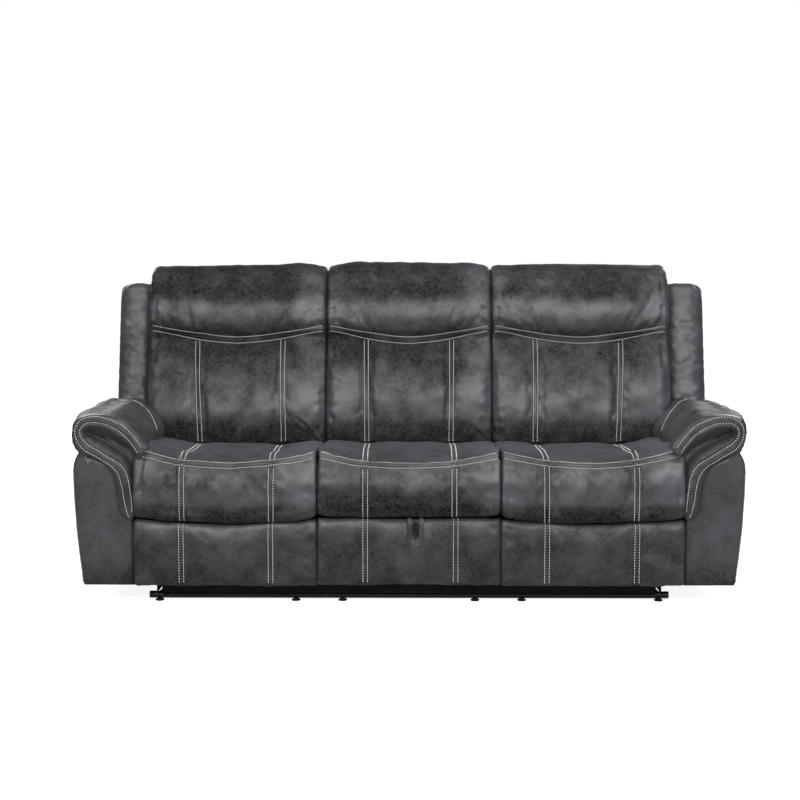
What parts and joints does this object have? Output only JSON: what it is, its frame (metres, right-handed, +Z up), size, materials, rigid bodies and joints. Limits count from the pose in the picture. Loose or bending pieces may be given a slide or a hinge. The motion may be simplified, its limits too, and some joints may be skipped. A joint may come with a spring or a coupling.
{
  "type": "reclining sofa",
  "caption": "Padded sofa with two reclining end seats that raise a footrest, a fixed middle seat over a drawer, scroll arms and a low tube base.",
  "frame": {"origin": "on the floor, under the middle of the sofa's bounding box", "axes": "+X to the right seen from the front, +Y to the rear, +Z up"},
  "size_m": [2.16, 0.97, 1.098],
  "materials": {
    "upholstery": "dark charcoal microfibre with a worn suede look and light contrast stitching",
    "strap": "dark woven strap",
    "black_steel": "black gloss powder coat",
    "zinc_steel": "zinc plated steel",
    "black_plastic": "black moulded plastic",
    "plywood": "bare birch plywood"
  },
  "bodies": {
    "frame": {"base_tube_front": "black_steel", "base_tube_rear": "black_steel", "base_front_bar": "black_steel", "glide_front_1": "black_plastic", "glide_front_2": "black_plastic", "glide_front_3": "black_plastic", "glide_front_4": "black_plastic", "glide_front_5": "black_plastic", "glide_front_6": "black_plastic", "glide_rear_1": "black_plastic", "glide_rear_2": "black_plastic", "middle_carcass": "plywood", "middle_back_board": "plywood", "middle_seat_cushion": "upholstery", "middle_back_cushion": "upholstery", "middle_back_shell": "upholstery", "rear_apron": "upholstery", "left_rail_outer": "black_steel", "left_rail_inner": "black_steel", "left_arm_body": "upholstery", "left_arm_pad": "upholstery", "left_arm_scroll": "upholstery", "right_rail_outer": "black_steel", "right_rail_inner": "black_steel", "right_arm_body": "upholstery", "right_arm_pad": "upholstery", "right_arm_scroll": "upholstery"},
    "left_seat": {"left_seat_deck": "zinc_steel", "left_seat_cushion": "upholstery"},
    "left_back": {"left_back_cushion": "upholstery", "left_back_shell": "upholstery", "left_back_wing": "upholstery", "left_back_board": "plywood", "left_back_bracket": "black_steel"},
    "left_drive": {"left_drive_link": "zinc_steel"},
    "left_middle_left": {"left_middle_link_left": "zinc_steel"},
    "left_front_left": {"left_front_link_left": "zinc_steel"},
    "left_middle_right": {"left_middle_link_right": "zinc_steel"},
    "left_front_right": {"left_front_link_right": "zinc_steel"},
    "left_footrest": {"left_footrest_board": "zinc_steel", "left_footrest_pad": "upholstery"},
    "left_handle": {"left_release_handle": "black_plastic"},
    "right_seat": {"right_seat_deck": "zinc_steel", "right_seat_cushion": "upholstery"},
    "right_back": {"right_back_cushion": "upholstery", "right_back_shell": "upholstery", "right_back_wing": "upholstery", "right_back_board": "plywood", "right_back_bracket": "black_steel"},
    "right_drive": {"right_drive_link": "zinc_steel"},
    "right_middle_left": {"right_middle_link_left": "zinc_steel"},
    "right_front_left": {"right_front_link_left": "zinc_steel"},
    "right_middle_right": {"right_middle_link_right": "zinc_steel"},
    "right_front_right": {"right_front_link_right": "zinc_steel"},
    "right_footrest": {"right_footrest_board": "zinc_steel", "right_footrest_pad": "upholstery"},
    "right_handle": {"right_release_handle": "black_plastic"},
    "drawer": {"drawer_box": "plywood", "drawer_front_pad": "upholstery", "drawer_pull_loop": "strap"}
  },
  "joints": [
    {"name": "left_recline", "type": "hinge", "parent": "left_seat", "child": "left_back", "pos_m": [-0.5834, 0.2, 0.36], "axis": [-1, 0, 0], "range_deg": [0, 30]},
    {"name": "left_seat_glide", "type": "slide", "parent": "frame", "child": "left_seat", "axis": [0, -1, 0], "range_m": [0, 0.05]},
    {"name": "left_footrest_open", "type": "hinge", "parent": "left_seat", "child": "left_drive", "pos_m": [-0.5834, -0.245, 0.252], "axis": [-1, 0, 0], "range_deg": [0, 63]},
    {"name": "left_middle_link_left_pivot", "type": "hinge", "parent": "left_drive", "child": "left_middle_left", "pos_m": [-0.5834, -0.31617, 0.07583], "axis": [-1, 0, 0], "range_deg": [-126, 0]},
    {"name": "left_front_link_left_pivot", "type": "hinge", "parent": "left_middle_left", "child": "left_front_left", "pos_m": [-0.5834, -0.32281, 0.26572], "axis": [-1, 0, 0], "range_deg": [0, 126]},
    {"name": "left_middle_link_right_pivot", "type": "hinge", "parent": "left_drive", "child": "left_middle_right", "pos_m": [-0.5834, -0.31617, 0.07583], "axis": [-1, 0, 0], "range_deg": [-126, 0]},
    {"name": "left_front_link_right_pivot", "type": "hinge", "parent": "left_middle_right", "child": "left_front_right", "pos_m": [-0.5834, -0.32281, 0.26572], "axis": [-1, 0, 0], "range_deg": [0, 126]},
    {"name": "left_footrest_tilt", "type": "hinge", "parent": "left_front_left", "child": "left_footrest", "pos_m": [-0.5834, -0.39398, 0.08955], "axis": [-1, 0, 0], "range_deg": [0, 27.01]},
    {"name": "left_release", "type": "hinge", "parent": "frame", "child": "left_handle", "pos_m": [-1.047, -0.15, 0.3205], "axis": [0, -1, 0], "range_deg": [0, 30], "stiffness_Nm_per_rad": 0.8},
    {"name": "right_recline", "type": "hinge", "parent": "right_seat", "child": "right_back", "pos_m": [0.5834, 0.2, 0.36], "axis": [-1, 0, 0], "range_deg": [0, 30]},
    {"name": "right_seat_glide", "type": "slide", "parent": "frame", "child": "right_seat", "axis": [0, -1, 0], "range_m": [0, 0.05]},
    {"name": "right_footrest_open", "type": "hinge", "parent": "right_seat", "child": "right_drive", "pos_m": [0.5834, -0.245, 0.252], "axis": [-1, 0, 0], "range_deg": [0, 63]},
    {"name": "right_middle_link_left_pivot", "type": "hinge", "parent": "right_drive", "child": "right_middle_left", "pos_m": [0.5834, -0.31617, 0.07583], "axis": [-1, 0, 0], "range_deg": [-126, 0]},
    {"name": "right_front_link_left_pivot", "type": "hinge", "parent": "right_middle_left", "child": "right_front_left", "pos_m": [0.5834, -0.32281, 0.26572], "axis": [-1, 0, 0], "range_deg": [0, 126]},
    {"name": "right_middle_link_right_pivot", "type": "hinge", "parent": "right_drive", "child": "right_middle_right", "pos_m": [0.5834, -0.31617, 0.07583], "axis": [-1, 0, 0], "range_deg": [-126, 0]},
    {"name": "right_front_link_right_pivot", "type": "hinge", "parent": "right_middle_right", "child": "right_front_right", "pos_m": [0.5834, -0.32281, 0.26572], "axis": [-1, 0, 0], "range_deg": [0, 126]},
    {"name": "right_footrest_tilt", "type": "hinge", "parent": "right_front_left", "child": "right_footrest", "pos_m": [0.5834, -0.39398, 0.08955], "axis": [-1, 0, 0], "range_deg": [0, 27.01]},
    {"name": "right_release", "type": "hinge", "parent": "frame", "child": "right_handle", "pos_m": [1.047, -0.15, 0.3205], "axis": [0, 1, 0], "range_deg": [0, 30], "stiffness_Nm_per_rad": 0.8},
    {"name": "drawer_slide", "type": "slide", "parent": "frame", "child": "drawer", "axis": [0, -1, 0], "range_m": [0, 0.28]}
  ],
  "couplings": [
    {"joint": "left_seat_glide", "follows": "left_recline", "m_per_rad": 0.0954},
    {"joint": "left_middle_link_left_pivot", "follows": "left_footrest_open", "ratio": -2},
    {"joint": "left_front_link_left_pivot", "follows": "left_footrest_open", "ratio": 2},
    {"joint": "left_middle_link_right_pivot", "follows": "left_footrest_open", "ratio": -2},
    {"joint": "left_front_link_right_pivot", "follows": "left_footrest_open", "ratio": 2},
    {"joint": "left_footrest_tilt", "follows": "left_footrest_open", "ratio": 0.42857},
    {"joint": "right_seat_glide", "follows": "right_recline", "m_per_rad": 0.0954},
    {"joint": "right_middle_link_left_pivot", "follows": "right_footrest_open", "ratio": -2},
    {"joint": "right_front_link_left_pivot", "follows": "right_footrest_open", "ratio": 2},
    {"joint": "right_middle_link_right_pivot", "follows": "right_footrest_open", "ratio": -2},
    {"joint": "right_front_link_right_pivot", "follows": "right_footrest_open", "ratio": 2},
    {"joint": "right_footrest_tilt", "follows": "right_footrest_open", "ratio": 0.42857}
  ]
}
